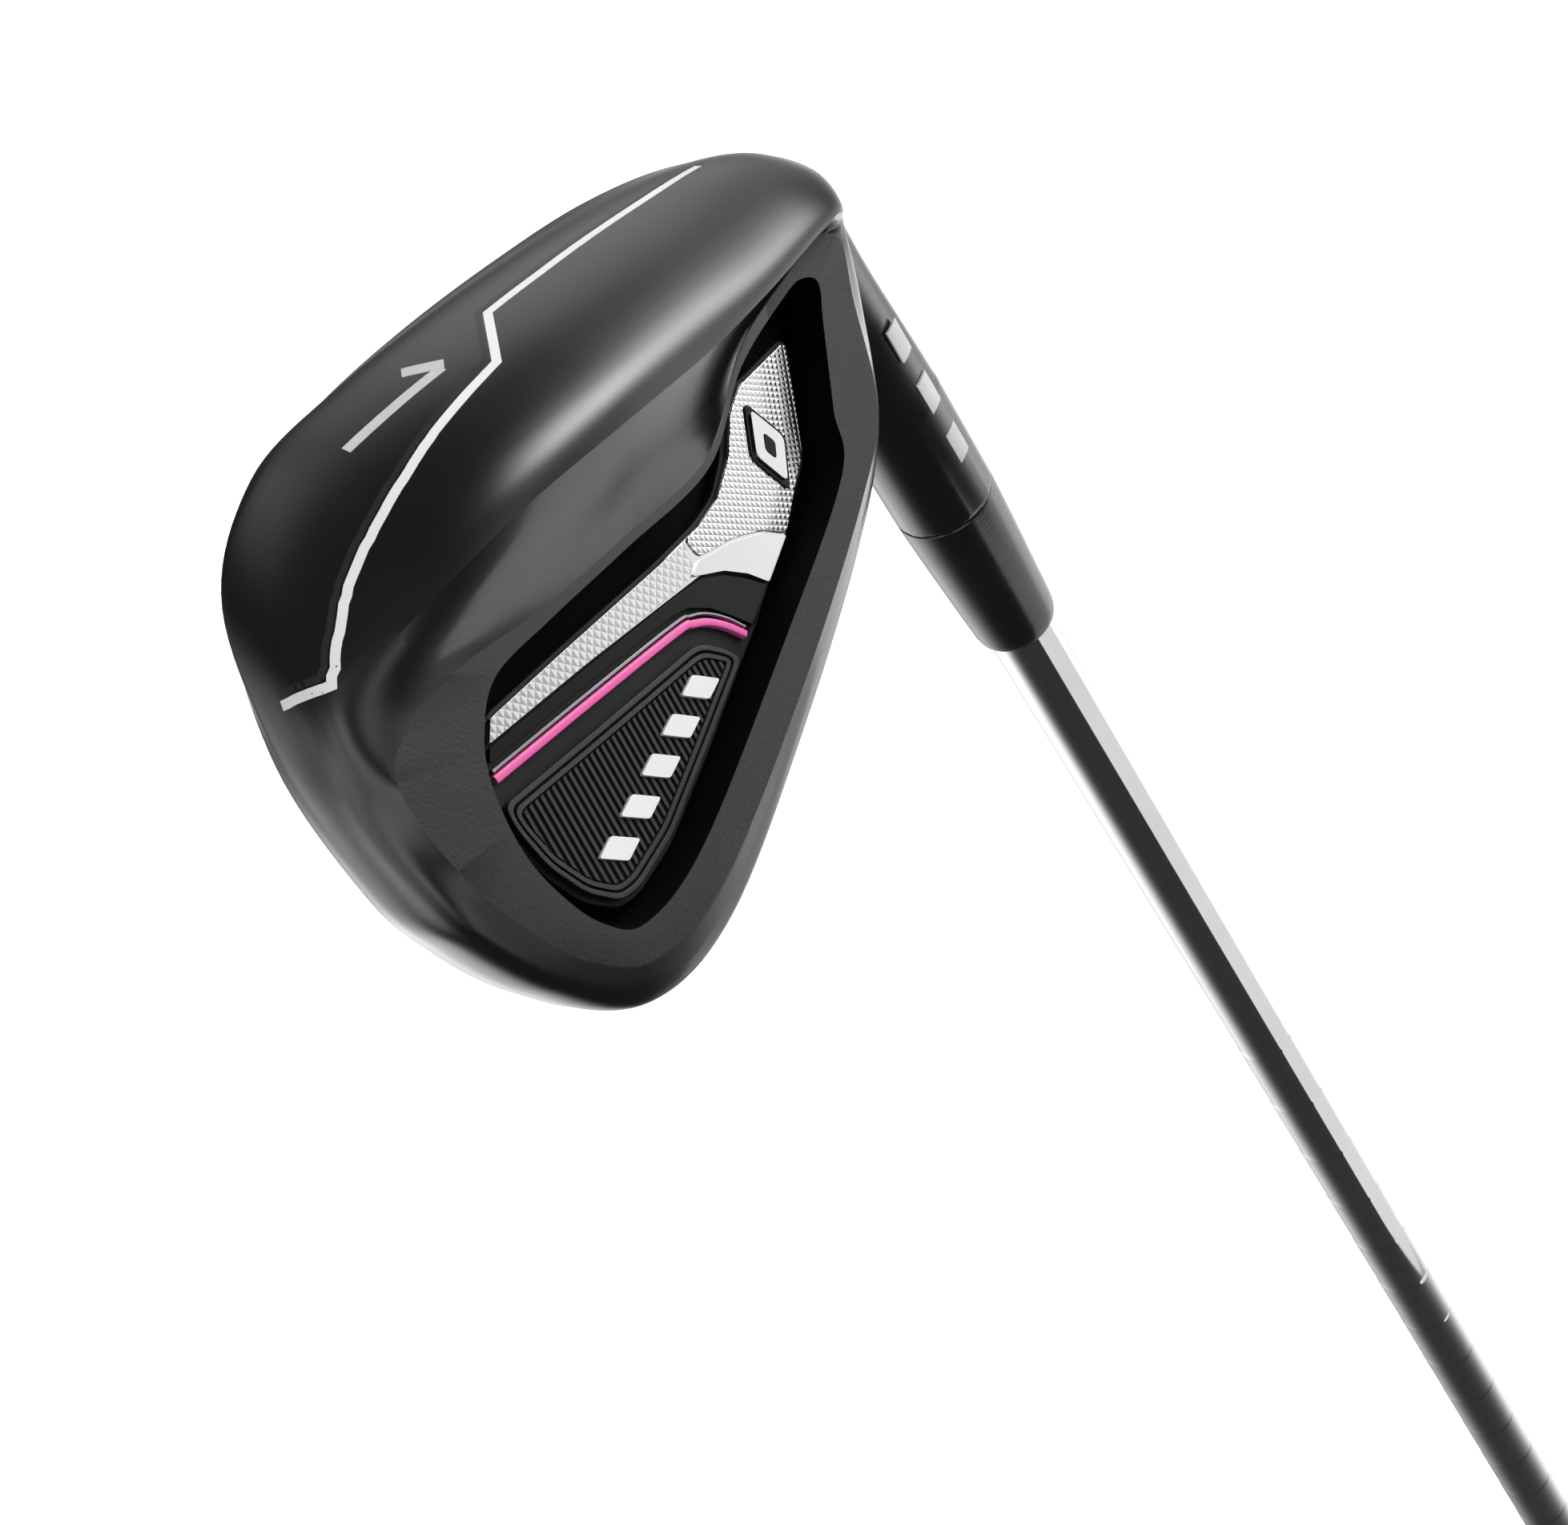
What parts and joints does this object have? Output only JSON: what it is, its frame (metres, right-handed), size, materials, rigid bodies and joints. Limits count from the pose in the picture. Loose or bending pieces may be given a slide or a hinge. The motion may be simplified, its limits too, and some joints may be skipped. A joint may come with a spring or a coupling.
{
  "type": "iron golf club",
  "caption": "Right-handed cavity-back iron golf club with a black head, stepped steel shaft and rubber grip.",
  "frame": {"origin": "centre of the grip's butt end, on the shaft axis", "axes": "+Z along the shaft axis from grip to head, as the club stands in a bag; +Y towards the target, the way the face looks; the toe points along -X"},
  "size_m": [0.112, 0.0514, 0.9404],
  "materials": {
    "black_plating": "gloss black plating over cast steel, satin on the rim",
    "black_face": "blasted black",
    "adhesive_tape": "foam tape",
    "black_badge": "matte",
    "bright_chrome": "bright, with a fine square texture",
    "gloss_black": "gloss",
    "silver_line": "satin",
    "pink_accent": "gloss pink",
    "grey_ribs": "matte, ribbed",
    "white_paint": "satin white",
    "silver_paint": "rough silver",
    "black_ferrule": "gloss black, finely turned",
    "epoxy": "cured glue",
    "chromed_steel": "bright",
    "brass": "turned",
    "grip_tape": "paper-backed tape",
    "grip_rubber": "matte, moulded"
  },
  "bodies": {
    "root": {"head_body": "black_plating", "face_plate": "black_face", "badge_tape": "adhesive_tape", "badge_base": "black_badge", "badge_chrome_plate": "bright_chrome", "badge_emblem": "bright_chrome", "badge_gloss_bar": "gloss_black", "badge_silver_line": "silver_line", "badge_accent_strip": "pink_accent", "badge_rib_panel": "grey_ribs", "badge_rib_frame": "black_badge", "badge_mark_1": "white_paint", "badge_mark_2": "white_paint", "badge_mark_3": "white_paint", "badge_mark_4": "white_paint", "badge_mark_5": "white_paint", "sole_stripe": "white_paint", "sole_number": "silver_paint", "hosel_mark_1": "white_paint", "hosel_mark_2": "white_paint", "hosel_mark_3": "white_paint", "ferrule": "black_ferrule", "hosel_epoxy": "epoxy", "shaft": "chromed_steel", "tip_weight": "brass", "grip_tape": "grip_tape", "grip": "grip_rubber"}
  },
  "joints": []
}
